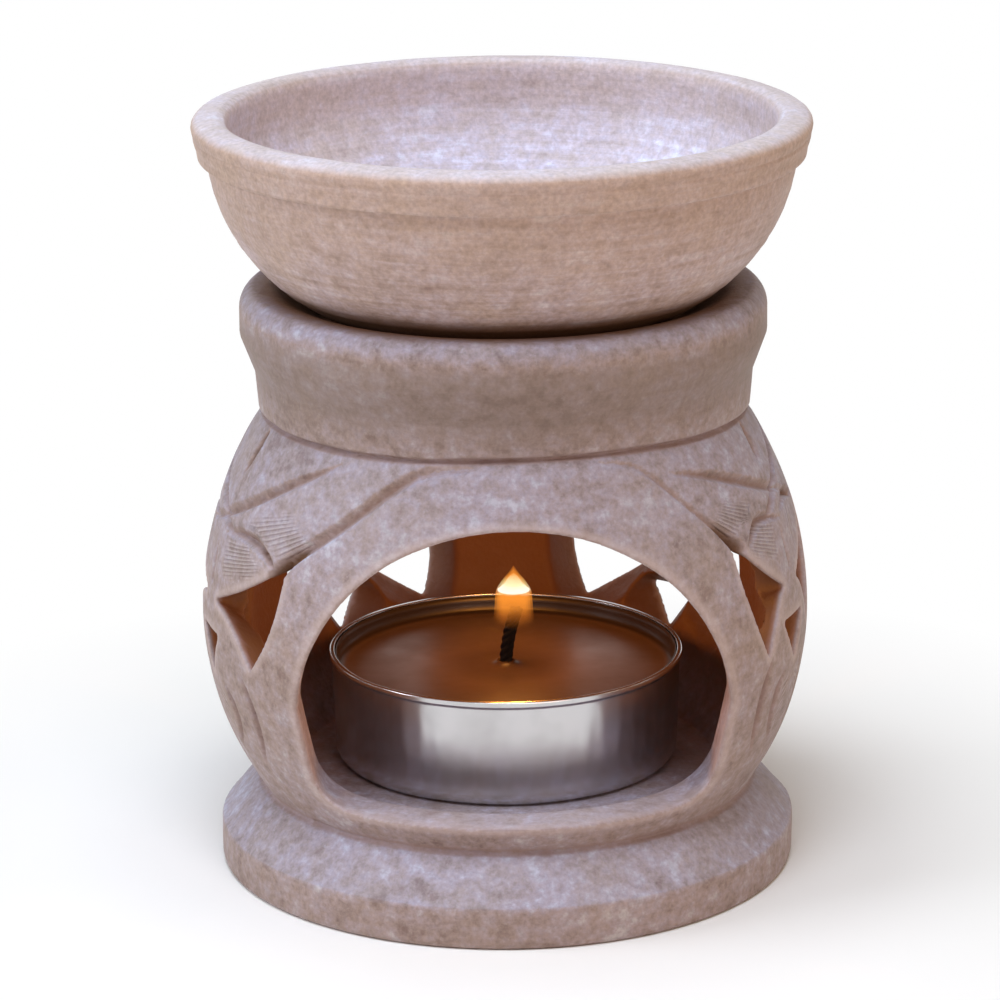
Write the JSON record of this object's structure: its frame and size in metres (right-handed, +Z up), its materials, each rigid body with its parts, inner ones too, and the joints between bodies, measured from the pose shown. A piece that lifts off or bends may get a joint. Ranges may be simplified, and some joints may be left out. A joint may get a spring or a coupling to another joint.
{
  "type": "essential oil burner",
  "caption": "Carved soapstone oil burner: round stand with an arched doorway and pierced leaf windows, a loose bowl on its collar and a tealight inside.",
  "frame": {"origin": "centre of the base disc's underside, on the surface that the burner stands on", "axes": "+Z up along the turning axis, -Y out of the arched doorway, +X to the right seen from the front"},
  "size_m": [0.0654, 0.0654, 0.0822],
  "materials": {
    "stand_stone": "turned and carved soapstone, satin",
    "bowl_stone": "turned soapstone, satin",
    "cup_metal": "thin pressed aluminium",
    "wax": "molten paraffin wax, glossy",
    "tin": "tinned steel",
    "wick_cotton": "charred braided cotton"
  },
  "bodies": {
    "stand": {"stand": "stand_stone"},
    "bowl": {"oil_bowl": "bowl_stone"},
    "tealight": {"tealight_cup": "cup_metal", "tealight_wax": "wax", "wick_sustainer": "tin", "wick": "wick_cotton"}
  },
  "joints": [
    {"name": "bowl_lift", "type": "slide", "parent": "stand", "child": "bowl", "axis": [0, 0, 1], "range_m": [0, 0.04]},
    {"name": "tealight_out", "type": "slide", "parent": "stand", "child": "tealight", "axis": [0, -0.9563, 0.2924], "range_m": [0, 0.066]}
  ]
}
